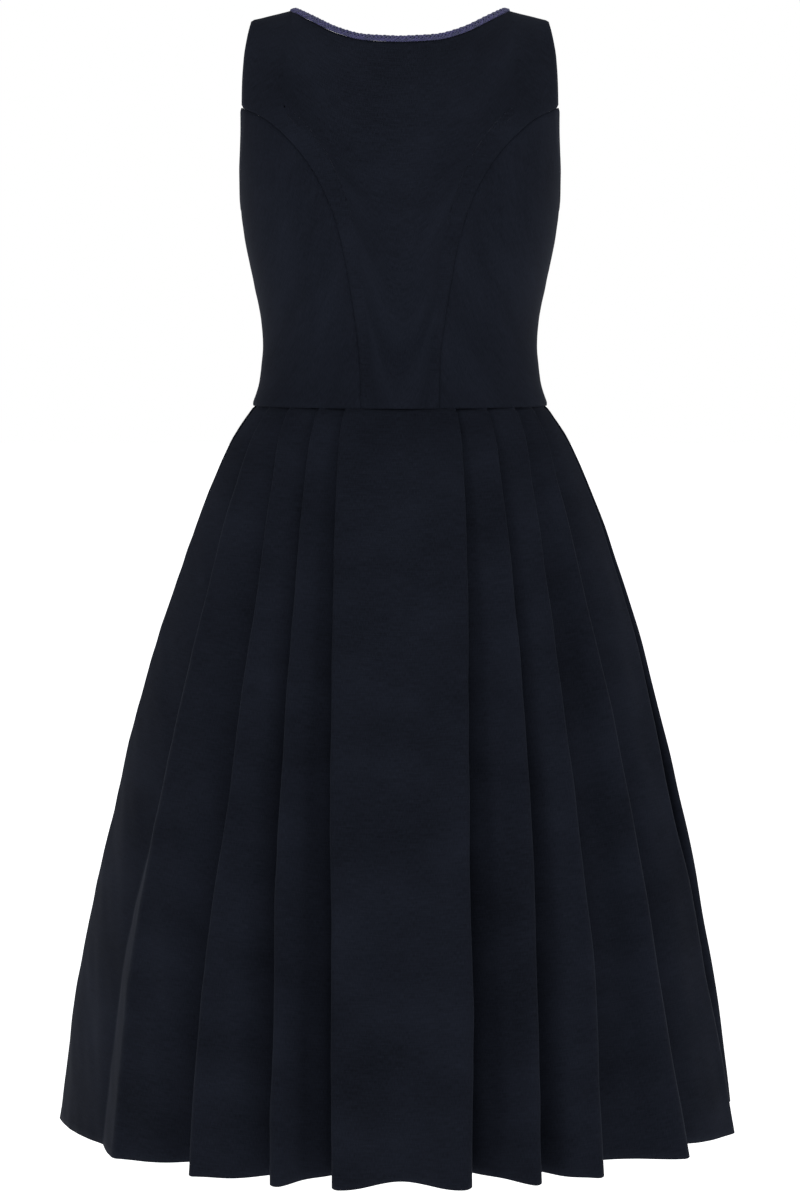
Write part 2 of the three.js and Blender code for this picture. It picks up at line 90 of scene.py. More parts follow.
def waves(u, v, seed, sizes):
    """Soft unevenness: a few sine waves in (u, v) millimetres; sizes are wavelengths."""
    rng = np.random.RandomState(seed)
    total = np.zeros(np.broadcast(u, v).shape)
    for size in sizes:
        for _ in range(3):
            a, p = rng.uniform(0, math.pi), rng.uniform(0, 2 * math.pi)
            k = 2 * math.pi / (size * rng.uniform(0.8, 1.25))
            total = total + np.sin(k * (u * math.cos(a) + v * math.sin(a)) + p) / 3
    return total / len(sizes)


# ---------------------------------------------------------------- the bodice form
half_width = curve([(-367, 139), (-343, 131.4), (-310, 128.6), (-287, 130.3), (-249, 137.5), (-212, 145), (-175, 149.4), (-119, 153), (-60, 156), (0, 156)])
back_low = curve([(-367, 98), (-340, 93), (-310, 92), (-260, 99), (-210, 108), (-165, 113)])
front_low = curve([(-367, 97), (-340, 93), (-310, 93), (-270, 106), (-240, 118), (-215, 122)])
back_square = curve([(-367, 2), (-310, 2.1), (-200, 2.5), (-150, 2.6), (0, 2.6)])
front_square = curve([(-367, 2), (-310, 2.1), (-260, 2.45), (-215, 2.85), (-150, 2.6), (0, 2.6)])
NECK_X, TIP_X, ROUND = 102.0, 139.0, 80.0
SLOPE = math.tan(14.5 * DEG)


def rise(x):
    return (math.hypot(NECK_X, 40) - np.hypot(x, 40)) * SLOPE


def share(q):
    return smooth((q + 120) / 120)


def depth_at(q, front):
    low, top, e = (-215, 122, 1.2) if front else (-165, 113, 1.6)
    u = np.clip((q - low) / -low, 0, 1) ** e
    return np.where(q <= low, (front_low if front else back_low)(q), top * np.sqrt(np.maximum(0, 1 - u)))


def square_at(q, front):
    return (front_square if front else back_square)(q)


def level_of(x, z):
    q = z + 0 * x
    for _ in range(30):
        q = z - share(q) * rise(x)
    return np.minimum(0, q)


def height_of(x, q):
    return q + share(q) * rise(x)


def tau_of(q):
    return -np.sqrt(q * q - ROUND * q)


def level_of_tau(t):
    return -(np.sqrt(ROUND * ROUND / 4 + t * t) - ROUND / 2)


def y_at(x, q, front):
    n = square_at(q, front)
    k = np.maximum(0, 1 - (np.abs(x) / half_width(q)) ** n)
    return (1 if front else -1) * depth_at(q, front) * k ** (1 / n)


def form_xq(x, q, front):
    return np.stack([x + 0 * q, y_at(x, q, front), height_of(x, q)], -1)


def form_angle(deg, q, front):
    n, s, c = square_at(q, front), np.sin(deg * DEG), np.cos(deg * DEG)
    r = ((np.abs(c) / depth_at(q, front)) ** n + (np.abs(s) / half_width(q)) ** n) ** (-1 / n)
    return np.stack([r * s, -r * c, height_of(r * s, q)], -1)


def angle_of(x, q, front):
    return np.arctan2(x, -y_at(x, q, front)) / DEG


def outward(P, front):
    """The form's own outward direction at points on it."""
    x, y, z = P[..., 0], P[..., 1], P[..., 2]

    def at(x, y, z):
        q = level_of(x, z)
        n = square_at(q, front)
        return (np.abs(x) / half_width(q)) ** n + (np.abs(y) / np.maximum(1e-6, depth_at(q, front))) ** n

    q = level_of(x, z)
    h = np.clip(-q / 6, 0.01, 0.05)
    g = np.stack([at(x + h, y, z) - at(x - h, y, z), at(x, y + h, z) - at(x, y - h, z), at(x, y, z + h) - at(x, y, z - h)], -1)
    top = np.stack([SLOPE * x / np.hypot(x, 40), 0 * x, 1 + 0 * x], -1)
    return unit(np.where((q > -0.3)[..., None], top, unit(g)))


back_princess = curve([(-367, 36), (-319, 37.5), (-275, 43), (-241, 48.5), (-212, 54.5), (-188, 61.5), (-166, 71), (-147, 82), (-132, 93), (-117, 107), (-103, 124), (-91, 146.8)])
back_armhole = curve([(-91, 146.8), (-60, 146.4), (-36, 145.2), (-18, 142.6), (0, 139)])
back_neck = curve([(0, -33), (33, -31), (58, -24), (84, -10.5), (102, 0)])
front_princess = curve([(-367, 50), (-340, 51.5), (-310, 56), (-270, 68), (-235, 82), (-212, 89), (-185, 97), (-155, 107), (-125, 118), (-103, 127)])
front_armhole = curve([(-103, 127), (-78, 127.6), (-50, 131), (-24, 135.4), (0, 139)])
NECK_DEEP = 165.0


def front_neck(f):
    a, e = f * 90 * DEG, 2 / 2.6
    return NECK_X * np.abs(np.cos(a)) ** e, -NECK_DEEP * np.abs(np.sin(a)) ** e


def armhole_low(notch, under, u):
    g = u * 90 * DEG
    return lerp(notch[0], 90, 1 - np.cos(g)), lerp(notch[1], under, np.sin(g))


# ---------------------------------------------------------------- meshes
def write_mesh(name, V, F, cloth_uv, material):
    mesh = bpy.data.meshes.new(name)
    F = np.asarray(F, np.int32)
    mesh.vertices.add(len(V))
    mesh.vertices.foreach_set("co", (np.asarray(V) * MM).astype(np.float32).ravel())
    mesh.loops.add(F.size)
    mesh.loops.foreach_set("vertex_index", F.ravel())
    mesh.polygons.add(len(F))
    mesh.polygons.foreach_set("loop_start", np.arange(0, F.size, F.shape[1], dtype=np.int32))
    mesh.polygons.foreach_set("use_smooth", np.ones(len(F), bool))
    mesh.update(calc_edges=True)
    mesh.validate()
    lay = mesh.attributes.new("cloth", "FLOAT_VECTOR", "POINT")
    lay.data.foreach_set("vector", (np.asarray(cloth_uv) * MM).astype(np.float32).ravel())
    mesh.materials.append(material)
    obj = bpy.data.objects.new(name, mesh)
    bpy.context.scene.collection.objects.link(obj)
    return obj


def lengths(P, axis):
    """Arc length along one axis of a grid."""
    d = np.linalg.norm(np.diff(P, axis=axis), axis=-1)
    pad = [(0, 0), (0, 0)]
    pad[axis] = (1, 0)
    return np.pad(np.cumsum(d, axis=axis), pad)


def shell(name, P, N, material, inner=None, grain=(0, 0)):
    """A closed thin sheet on the grid P (rows down, columns round), with rounded edges."""
    R, C, _ = P.shape
    inner = IN if inner is None else inner
    Vo, Vi = P + N * OUT, P - N * (inner[..., None] if hasattr(inner, "shape") else inner)
    ids = np.arange(R * C).reshape(R, C)
    quads = np.stack([ids[:-1, :-1], ids[1:, :-1], ids[1:, 1:], ids[:-1, 1:]], -1).reshape(-1, 4)
    faces = [quads, quads[:, ::-1] + R * C]
    loop = (
        [(0, j) for j in range(C - 1)]
        + [(i, C - 1) for i in range(R - 1)]
        + [(R - 1, j) for j in range(C - 1, 0, -1)]
        + [(i, 0) for i in range(R - 1, 0, -1)]
    )
    li, lj = np.array(loop).T
    ni, nj = np.clip(li, 1, R - 2), np.clip(lj, 1, C - 2)
    away = P[li, lj] - P[ni, nj]
    n = N[li, lj]
    away = unit(away - n * (away * n).sum(-1, keepdims=True))
    mid = (Vo[li, lj] + Vi[li, lj]) / 2 + away * np.linalg.norm(Vo[li, lj] - Vi[li, lj], axis=-1, keepdims=True) * 0.3
    o = ids[li, lj]
    m = 2 * R * C + np.arange(len(loop))
    nxt = np.roll(np.arange(len(loop)), -1)
    faces.append(np.stack([o, o[nxt], m[nxt], m], -1))
    faces.append(np.stack([m, m[nxt], o[nxt] + R * C, o + R * C], -1))
    u = lengths(P, 1) + grain[0]
    u = u - u[:, [C // 2]]
    v = lengths(P, 0) + grain[1]
    uv = np.stack([u, v, 0 * u], -1).reshape(-1, 3)
    uvs = np.vstack([uv, uv, uv[o]])
    V = np.vstack([Vo.reshape(-1, 3), Vi.reshape(-1, 3), mid])
    return write_mesh(name, V, np.vstack(faces), uvs, material)


def inset(P, edges):
    """Moves the named edges half the seam gap into the piece."""
    Q = P.copy()

    def shift(line, into, sel):
        along = unit(np.gradient(line, axis=0))
        d = into - line
        d = unit(d - along * (d * along).sum(-1, keepdims=True))
        Q[sel] += d * SEAM / 2

    if "top" in edges:
        shift(P[0], P[1], (0, slice(None)))
    if "bottom" in edges:
        shift(P[-1], P[-2], (-1, slice(None)))
    if "first" in edges:
        shift(P[:, 0], P[:, 1], (slice(None), 0))
    if "last" in edges:
        shift(P[:, -1], P[:, -2], (slice(None), -1))
    return Q


def mirrored(P):
    return (P * np.array([-1, 1, 1]))[:, ::-1]


def patch(left, right, top, bottom, us, vs):
    """Fills a four-sided area in (angle or x, tau) from its border lines."""
    U, V = np.meshgrid(us, vs)
    L, R = np.stack(left(vs), -1)[:, None], np.stack(right(vs), -1)[:, None]
    T, B = np.stack(top(us), -1)[None], np.stack(bottom(us), -1)[None]
    U, V = U[..., None], V[..., None]
    c00, c10, c01, c11 = T[:, :1], T[:, -1:], B[:, :1], B[:, -1:]
    return lerp(L, R, U) + lerp(T, B, V) - lerp(lerp(c00, c10, U), lerp(c01, c11, U), V)


def tailor(P, N, seams, edges, seed, level=0.45):
    """Sewn relief on a bodice piece: each seam sinks and puckers, each turned edge stands up a little, the cloth has soft waves."""
    R, C, _ = P.shape
    across, down = lengths(P, 1), lengths(P, 0)
    near = {"first": across, "last": across[:, -1:] - across, "top": down, "bottom": down[-1:] - down}
    off = level * waves(P[..., 0], P[..., 2], seed, (170, 95, 55))
    run = {"first": down, "last": down, "top": across, "bottom": across}
    for k, side in enumerate(seams):
        d, s = near[side], run[side]
        ripple = waves(s, 0 * s, seed * 7 + k, (34, 19, 13))
        off += -0.75 * np.exp(-((d / 1.2) ** 2)) + 0.22 * np.exp(-(((d - 4.2) / 2.4) ** 2))
        off += 0.42 * ripple * np.exp(-d / 9.0) * (1 - np.exp(-d / 2.0))
    for k, side in enumerate(edges):
        d, s = near[side], run[side]
        off += 0.35 * smooth((8.5 - d) / 2.0) - 0.45 * np.exp(-((d / 0.9) ** 2)) - 0.28 * np.exp(-(((d - 7.0) / 0.8) ** 2))
        off += 0.25 * waves(s, 0 * s, seed * 11 + k, (40, 23)) * np.exp(-d / 10)
    return P + N * off[..., None]


def even(n):
    return np.linspace(0, 1, n)


# ---------------------------------------------------------------- skirt section
skirt_half = curve([(-1046, 326.5), (-938, 310.5), (-821, 290.2), (-744, 272.7), (-667, 253.8), (-590, 233), (-514, 208.4), (-476, 195.2), (-438, 179.6), (-400, 161.6), (-385, 152), (-367, 139)])
skirt_depth = curve([(-1046, 284), (-821, 247), (-667, 211), (-514, 166), (-438, 137.5), (-400, 119.5), (-367, 98)])
STATIONS = (-367, -440, -560, -720, -870, -1046)
# One row a fold: its ridge's angle at each station, then depth, roll and tuck at the hem, and how far the panel beyond it bows out.
RIGHT_FOLDS = [
    (21.8, 19.0, 16.0, 13.6, 12.6, 11.4, 40, 9, 7, -3),
    (35.3, 31.2, 28.3, 26.2, 24.4, 23.2, 33, 7, 7, 4),
    (50.0, 42.6, 38.5, 36.6, 35.9, 34.2, 42, 6, 7, -5),
    (62.0, 54.6, 51.8, 52.1, 52.2, 54.5, 36, 7, 7, 5),
    (76.0, 75.0, 73.6, 69.5, 71.5, 75.5, 32, 8, 7, 0),
    (99.0, 98.5, 98.0, 97.6, 97.6, 98.0, 32, 8, 7, -4),
    (113.0, 114.0, 116.0, 118.0, 118.0, 117.0, 35, 8, 7, 3),
    (127.0, 130.0, 133.0, 135.0, 136.0, 136.0, 38, 7, 7, -4),
    (142.0, 146.0, 149.0, 151.0, 152.0, 153.0, 33, 8, 7, 4),
    (158.4, 162.0, 165.0, 167.0, 168.0, 168.6, 37, 8, 7, 0),
]
LEFT_FOLDS = [
    (21.4, 18.7, 15.8, 13.5, 12.0, 10.9, 34, 7, 7, 3),
    (32.8, 29.1, 25.8, 23.9, 22.2, 20.7, 28, 6, 7, -4),
    (47.6, 40.8, 36.9, 36.0, 36.4, 35.8, 38, 5, 7, 5),
    (61.3, 58.2, 55.7, 56.8, 57.3, 56.2, 15, 14, -14, 4),
    (75.0, 76.0, 80.0, 84.0, 86.0, 87.0, 28, 8, 7, 0),
    (99.0, 99.0, 101.0, 103.0, 104.0, 105.0, 30, 8, 7, 4),
    (112.6, 114.5, 117.5, 119.0, 120.5, 121.5, 34, 8, 7, -4),
    (126.6, 129.0, 131.5, 133.0, 134.0, 134.0, 38, 7, 7, 4),
    (142.4, 146.0, 148.5, 150.0, 150.5, 151.0, 34, 8, 7, -3),
    (158.6, 162.0, 165.5, 167.5, 168.5, 169.4, 35, 8, 7, 0),
]
depth_share = curve([(-1046, 1), (-870, 0.86), (-720, 0.69), (-560, 0.46), (-440, 0.27), (-367, 0.13)])
roll_share = curve([(-1046, 1), (-870, 0.84), (-720, 0.62), (-560, 0.4), (-440, 0.24), (-367, 0)])
tuck_high = curve([(-560, 12), (-440, 13.5), (-367, 13)])
WAIST_DEPTH, WAIST_ROLL, CENTRE_BOW = 4.6, 0.7, 22.0


def fold_table(row, z):
    """Angle, depth, roll and tuck of one fold at every height."""
    angle = curve([(s, a) for s, a in zip(STATIONS, row)][::-1])(z)
    depth, roll, tuck_hem = row[6:9]
    down = np.clip((WAIST_Z - z) / 500, 0, 1)
    near = (1 - np.clip((WAIST_Z - z) / 60, 0, 1)) ** 2
    d = np.maximum(depth, lerp(40, depth, down)) * depth_share(z)
    d = lerp(d, WAIST_DEPTH, near)
    low = np.clip((-440 - z) / 606, 0, 1)
    tuck = lerp(tuck_high(z), tuck_hem, low * (2 - low))
    pos = np.maximum(tuck, 0)
    most = np.where(tuck > 0, 0.46 * (pos + d - np.sqrt(2 * pos * d)), 1e9)
    return angle, d, np.minimum(most, np.maximum(WAIST_ROLL, roll * roll_share(z))), tuck


class Ring:
    """The ellipse that the folds ride on at each height, measured along itself from the centre back."""

    def __init__(self, z):
        self.a, self.b = skirt_half(z), skirt_depth(z)
        g = np.linspace(0, 180, 721) * DEG
        x, y = self.a[:, None] * np.sin(g), -self.b[:, None] * np.cos(g)
        self.s = np.concatenate([np.zeros((len(z), 1)), np.cumsum(np.hypot(np.diff(x), np.diff(y)), 1)], 1)
        self.g = g

    def length(self, deg):
        return np.array([np.interp(d * DEG, self.g, s) for d, s in zip(deg, self.s)])

    def place(self, s, r):
        g = np.array([np.sign(row) * np.interp(np.abs(row), tab, self.g) for row, tab in zip(s, self.s)])
        a, b = self.a[:, None], self.b[:, None]
        nx, ny = b * np.sin(g), -a * np.cos(g)
        k = np.hypot(nx, ny)
        return a * np.sin(g) + nx / k * r, -b * np.cos(g) + ny / k * r


def skirt_lines(z, arc=9, gap=4.0):
    """The cloth's line at every height: over each ridge roll, under each valley roll, like a belt."""
    ring = Ring(z)
    rolls = []
    for side, table in ((-1, LEFT_FOLDS), (1, RIGHT_FOLDS)):
        for i, row in enumerate(table):
            angle, d, q, tuck = fold_table(row, z)
            s, face = ring.length(angle), 1 if i < 5 else -1
            ridge = dict(s=side * (s - face * q), r=-q, q=-q, kind="ridge", i=i, side=side, bow=row[9])
            valley = dict(s=side * (s - face * (tuck - q)), r=q - d, q=q, kind="valley", i=i, side=side, bow=row[9])
            order = [ridge, valley] if (side > 0) == (i < 5) else [valley, ridge]
            rolls.append((side * (i + 1), order))
    belt = [c for _, pair in sorted(rolls, key=lambda t: t[0]) for c in pair]

    def heading(c, d):
        dx, dy, e = d["s"] - c["s"], d["r"] - c["r"], d["q"] - c["q"]
        far = np.hypot(dx, dy)
        return np.arctan2(dy, dx) - np.arctan2(e, np.sqrt(np.maximum(far * far - e * e, 1e-6)))

    def on(c, h):
        return c["s"] + c["q"] * np.sin(h), c["r"] - c["q"] * np.cos(h)

    share_z = depth_share(z)

    def span(a, b, fs, lift):
        dx, dy = b[0] - a[0], b[1] - a[1]
        far = np.hypot(dx, dy)
        return [
            (a[0] + dx * f - dy / far * lift * math.sin(math.pi * f) ** 2, a[1] + dy * f + dx / far * lift * math.sin(math.pi * f) ** 2)
            for f in fs
        ]

    pieces, now = [[], [], []], 0
    zero = np.zeros(len(z))
    half = ring.s[:, -1] - SEAM / 2
    first, last = belt[0], belt[-1]
    into = zero
    pieces[0] += span((-half, zero), on(first, zero), even(9)[:-1], 0)
    for k, c in enumerate(belt):
        nxt = belt[k + 1] if k + 1 < len(belt) else None
        out = heading(c, nxt) if nxt else zero
        turn = np.mod(out - into, 2 * math.pi)
        if c["kind"] == "ridge":
            turn = turn - 2 * math.pi * (turn > 1e-9)
        turn = np.where(np.abs(turn) > 1.9 * math.pi, 0, turn)
        for f in even(arc):
            pieces[now].append(on(c, into + turn * f))
        if nxt:
            a, b = on(c, out), on(nxt, out)
            n = int(max(4, np.max(np.hypot(b[0] - a[0], b[1] - a[1])) / gap))
            if c["kind"] == nxt["kind"] == "valley":
                far = np.hypot(b[0] - a[0], b[1] - a[1])
                g = SEAM / 2 / far
                half_n = n // 2
                pieces[now] += [(lerp(a[0], b[0], f * (0.5 - g)), lerp(a[1], b[1], f * (0.5 - g))) for f in even(half_n + 1)[1:]]
                now += 1
                pieces[now] += [(lerp(a[0], b[0], 0.5 + g + f * (0.5 - g)), lerp(a[1], b[1], 0.5 + g + f * (0.5 - g))) for f in even(half_n + 1)[:-1]]
            else:
                wide = c["kind"] == nxt["kind"] == "ridge"
                lift = -CENTRE_BOW if wide else (c["bow"] if c["side"] == nxt["side"] and c["i"] != nxt["i"] else 0)
                pieces[now] += span(a, b, even(n + 1)[1:-1], lift * share_z)
        into = out
    pieces[2] += span(on(last, zero), (half, zero), even(9)[1:], 0)
    return ring, [(np.stack([p[0] for p in line], 1), np.stack([p[1] + 0 * p[0] for p in line], 1)) for line in pieces]


def drape(rows=108):
    """The three skirt pieces as grids of points, with their outward directions."""
    t = even(rows) ** 1.12
    z = lerp(WAIST_Z - SEAM / 2, HEM_Z, t)
    ring, lines = skirt_lines(z)
    made = []
    for k, (s, r) in enumerate(lines):
        x, y = ring.place(s, r)
        Z = z[:, None] - t[:, None] * (2 + 0.14 * r)
        P = np.stack([x, y, Z], -1)
        N = unit(np.cross(np.gradient(P, axis=0), np.gradient(P, axis=1)))
        # soft unevenness of the hang, none at the waist, and small puckers where the folds are sewn in
        low = smooth((t - 0.05) / 0.5)[:, None]
        off = 1.9 * low * waves(s, z[:, None] * 0.35, 31, (120, 70))
        off += 0.5 * waves(s, z[:, None] * 0.5, 47, (34, 22)) * smooth((t - 0.02) / 0.2)[:, None]
        down = (WAIST_Z - z)[:, None]
        off += 0.5 * waves(s, down * 0.2, 53, (16, 11)) * np.exp(-down / 26) * (1 - np.exp(-down / 2))
        off -= 1.0 * np.exp(-((down / 1.8) ** 2))
        side = {0: ("last",), 1: ("first", "last"), 2: ("first",)}[k]
        across = lengths(P, 1)
        for e in side:
            d = across if e == "first" else across[:, -1:] - across
            off -= 0.9 * np.exp(-((d / 1.6) ** 2))
        # the blind stitches of the hem draw the cloth in by a hair
        hem = (z - HEM_Z)[:, None]
        off -= 0.3 * np.exp(-(((hem - HEM_TURN) / 1.1) ** 2)) * (0.75 + 0.5 * waves(s, 0 * s, 71, (14, 9)))
        Q = P + N * off[..., None]
        N = unit(np.cross(np.gradient(Q, axis=0), np.gradient(Q, axis=1)))
        made.append((Q, N, IN + 0.5 * smooth((HEM_TURN - hem) / 2.5) + 0 * s))
    return made


HEM_TURN = 26.0


# ---------------------------------------------------------------- materials
def node(tree, kind, at, **values):
    n = tree.nodes.new(kind)
    n.location = at
    for k, v in values.items():
        if k in n.inputs:
            n.inputs[k].default_value = v
        else:
            setattr(n, k, v)
    return n


def scaled(tree, source, scale, at):
    m = node(tree, "ShaderNodeMapping", at)
    m.inputs["Scale"].default_value = scale
    tree.links.new(source, m.inputs["Vector"])
    return m.outputs["Vector"]


def cloth_material():
    mat = bpy.data.materials.new("navy_cloth")
    mat.use_nodes = True
    t = mat.node_tree
    b = t.nodes["Principled BSDF"]
    b.inputs["Roughness"].default_value = 0.88
    b.inputs["Specular IOR Level"].default_value = 0.05
    b.inputs["Sheen Weight"].default_value = 0.028
    b.inputs["Sheen Roughness"].default_value = 0.42
    b.inputs["Sheen Tint"].default_value = (0.55, 0.62, 0.85, 1)
    where = node(t, "ShaderNodeAttribute", (-1400, 0), attribute_name="cloth").outputs["Vector"]
    # slub: the weft is a little uneven, so fine streaks run across the cloth
    slub = node(t, "ShaderNodeTexNoise", (-900, 250), Scale=1.0, Detail=3.0, Roughness=0.6)
    t.links.new(scaled(t, where, (70, 950, 1), (-1150, 250)), slub.inputs["Vector"])
    blotch = node(t, "ShaderNodeTexNoise", (-900, 0), Scale=1.0, Detail=2.0, Roughness=0.5)
    t.links.new(scaled(t, where, (9, 14, 1), (-1150, 0)), blotch.inputs["Vector"])
    warp = node(t, "ShaderNodeTexNoise", (-900, -250), Scale=1.0, Detail=1.0, Roughness=0.5)
    t.links.new(scaled(t, where, (1500, 220, 1), (-1150, -250)), warp.inputs["Vector"])
    mix = node(t, "ShaderNodeMath", (-700, 200), operation="ADD")
    t.links.new(slub.outputs["Fac"], mix.inputs[0])
    t.links.new(blotch.outputs["Fac"], mix.inputs[1])
    both = node(t, "ShaderNodeMath", (-550, 150), operation="ADD")
    t.links.new(mix.outputs[0], both.inputs[0])
    t.links.new(warp.outputs["Fac"], both.inputs[1])
    ramp = node(t, "ShaderNodeValToRGB", (-380, 150))
    third = node(t, "ShaderNodeMath", (-470, 150), operation="MULTIPLY")
    third.inputs[1].default_value = 1 / 3
    t.links.new(both.outputs[0], third.inputs[0])
    t.links.new(third.outputs[0], ramp.inputs["Fac"])
    ramp.color_ramp.elements[0].position, ramp.color_ramp.elements[1].position = 0.36, 0.64
    ramp.color_ramp.elements[0].color = (0.0034, 0.0043, 0.0072, 1)
    ramp.color_ramp.elements[1].color = (0.0092, 0.0114, 0.0186, 1)
    t.links.new(ramp.outputs["Color"], b.inputs["Base Color"])
    bump = node(t, "ShaderNodeBump", (-250, -250), Strength=0.35, Distance=0.0006)
    t.links.new(third.outputs[0], bump.inputs["Height"])
    t.links.new(bump.outputs["Normal"], b.inputs["Normal"])
    return mat


def braid_material():
    mat = bpy.data.materials.new("navy_braid")
    mat.use_nodes = True
    t = mat.node_tree
    b = t.nodes["Principled BSDF"]
    b.inputs["Roughness"].default_value = 0.5
    b.inputs["Specular IOR Level"].default_value = 0.45
    b.inputs["Sheen Weight"].default_value = 0.25
    b.inputs["Sheen Tint"].default_value = (0.6, 0.6, 1.0, 1)
    where = node(t, "ShaderNodeAttribute", (-1100, 0), attribute_name="cloth").outputs["Vector"]
    tint = node(t, "ShaderNodeTexNoise", (-700, 200), Scale=1.0, Detail=2.0)
    t.links.new(scaled(t, where, (90, 90, 90), (-900, 200)), tint.inputs["Vector"])
    ramp = node(t, "ShaderNodeValToRGB", (-450, 200))
    ramp.color_ramp.elements[0].position, ramp.color_ramp.elements[1].position = 0.38, 0.62
    ramp.color_ramp.elements[0].color = (0.012, 0.016, 0.052, 1)
    ramp.color_ramp.elements[1].color = (0.034, 0.031, 0.115, 1)
    t.links.new(tint.outputs["Fac"], ramp.inputs["Fac"])
    t.links.new(ramp.outputs["Color"], b.inputs["Base Color"])
    yarn = node(t, "ShaderNodeTexNoise", (-700, -200), Scale=1.0, Detail=2.0)
    t.links.new(scaled(t, where, (2600, 900, 900), (-900, -200)), yarn.inputs["Vector"])
    bump = node(t, "ShaderNodeBump", (-250, -200), Strength=0.5, Distance=0.0004)
    t.links.new(yarn.outputs["Fac"], bump.inputs["Height"])
    t.links.new(bump.outputs["Normal"], b.inputs["Normal"])
    return mat


cloth = cloth_material()
braid = braid_material()


def sew(obj, node_name):
    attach(obj, "root")
    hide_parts(node_name)


def pair(base, P, N, cut):
    for side in ("right", "left"):
        p = P if side == "right" else mirrored(P)
        n = N if side == "right" else mirrored(N)
        sew(shell(f"cloth_{base}_{side}", p, n, cloth), f"{base}_{side}")


waist_tau = float(tau_of(WAIST_Z))
zero_tau = -0.6

# bodice, back centre
part = NECK_X / TIP_X
across = np.concatenate([-np.linspace(1, part, 12)[:-1], np.linspace(-part, part, 62), np.linspace(part, 1, 12)[1:]])
tau_rows = lerp(zero_tau, waist_tau, even(96))[:, None]
u = across[None, :]
q_edge = level_of_tau(tau_rows)
z_edge = height_of(146.0, q_edge)
edge = np.where(z_edge > BACK_NOTCH_Z, back_armhole(q_edge), back_princess(z_edge))
x_top = np.abs(u) * TIP_X
top_tau = np.where(np.abs(u) < part - 1e-9, tau_of(level_of(x_top, back_neck(x_top))), zero_tau)
top_tau = np.minimum(top_tau, zero_tau)
tau = lerp(waist_tau, top_tau, (tau_rows - waist_tau) / (zero_tau - waist_tau))
P = inset(form_xq(u * edge, level_of_tau(tau), False), ("top", "bottom", "first", "last"))
N = outward(P, False)
obj = shell("cloth_bodice_back_centre", tailor(P, N, ("bottom", "first", "last"), ("top",), 5), N, cloth)
sew(obj, "bodice_back_centre")

# bodice, back side
notch_tau = float(tau_of(level_of(146.8, np.array(BACK_NOTCH_Z))))
under_tau = float(tau_of(UNDERARM_Z))


def back_seam(v):
    t = lerp(notch_tau, waist_tau, v)
    q = level_of_tau(t)
    return angle_of(back_princess(height_of(146.0, q)), q, False), t


n0, n1 = [float(a) for a in back_seam(0.0)], [float(a) for a in back_seam(1.0)]
G = patch(
    back_seam,
    lambda v: (90 + 0 * v, lerp(under_tau, waist_tau, v)),
    lambda u: armhole_low(n0, under_tau, u),
    lambda u: (lerp(n1[0], 90, u), waist_tau + 0 * u),
    even(40),
    even(74),
)
P = inset(form_angle(np.minimum(G[..., 0], 90), level_of_tau(G[..., 1]), False), ("bottom", "first", "last"))
N = outward(P, False)
pair("bodice_back_side", tailor(P, N, ("bottom", "first", "last"), ("top",), 6), N, "bodice_back_side")


# bodice, front side
front_notch_tau = float(tau_of(level_of(127.0, np.array(FRONT_NOTCH_Z))))


def front_seam(f):
    t = lerp(waist_tau, front_notch_tau, f)
    return front_princess(height_of(120.0, level_of_tau(t))), t


def front_seam_angle(v):
    x, t = front_seam(1 - v)
    return angle_of(x, level_of_tau(t), True), t


n0, n1 = [float(a) for a in front_seam_angle(0.0)], [float(a) for a in front_seam_angle(1.0)]
G = patch(
    lambda v: (90 + 0 * v, lerp(under_tau, waist_tau, v)),
    front_seam_angle,
    lambda u: armhole_low(n0, under_tau, 1 - u),
    lambda u: (lerp(90, n1[0], u), waist_tau + 0 * u),
    even(36),
    even(72),
)
P = inset(form_angle(np.maximum(G[..., 0], 90), level_of_tau(G[..., 1]), True), ("bottom", "first", "last"))
N = outward(P, True)
pair("bodice_front_side", tailor(P, N, ("bottom", "first", "last"), ("top",), 8), N, "bodice_front_side")

# bodice, front centre, with its strap
STRAP, NECK_PART = 0.4, 0.58  # shares of the rows along the armhole, and along the neckline
corner_tau = float(tau_of(level_of(0.0, np.array(-NECK_DEEP))))


def front_outer(v):
    x_low, t_low = front_seam(np.clip(1 - (v - STRAP) / (1 - STRAP), 0, 1))
    t_high = lerp(zero_tau, front_notch_tau, np.clip(v / STRAP, 0, 1))
    return np.where(v > STRAP, x_low, front_armhole(level_of_tau(t_high))), np.where(v > STRAP, t_low, t_high)


def front_inner(v):
    x, z = front_neck(np.clip(v / NECK_PART, 0, 1) ** 0.9)
    t = np.minimum(tau_of(level_of(x, z)), zero_tau)
    low = lerp(corner_tau, waist_tau, np.clip((v - NECK_PART) / (1 - NECK_PART), 0, 1))
    return np.where(v >= NECK_PART, 0, x), np.where(v >= NECK_PART, low, t)


vs = np.concatenate([np.linspace(0, NECK_PART, 71), np.linspace(NECK_PART, 1, 45)[1:]])
x_bottom = float(front_outer(np.array([1.0]))[0][0])
G = patch(
    front_outer,
    front_inner,
    lambda u: (lerp(TIP_X, NECK_X, u), zero_tau + 0 * u),
    lambda u: (lerp(x_bottom, 0, u), waist_tau + 0 * u),
    even(40),
    vs,
)
P = inset(form_xq(G[..., 0], level_of_tau(G[..., 1]), True), ("top", "bottom", "first"))
P[70:, -1, 0] = SEAM / 2
N = outward(P, True)
pair("bodice_front_centre", tailor(P, N, ("bottom", "first"), ("last",), 9), N, "bodice_front_centre")

# skirt
for name, cut, (P, N, inner) in zip(
    ("skirt_front_left", "skirt_back", "skirt_front_right"), ("skirt_front", "skirt_back", "skirt_front"), drape()
):
    sew(shell("cloth_" + name, P, N, cloth, inner), name)

# ---------------------------------------------------------------- neck braid
STRANDS, HALF_WIDTH, STRAND_R, PITCH = 4, 2.35, 0.85, 15.0


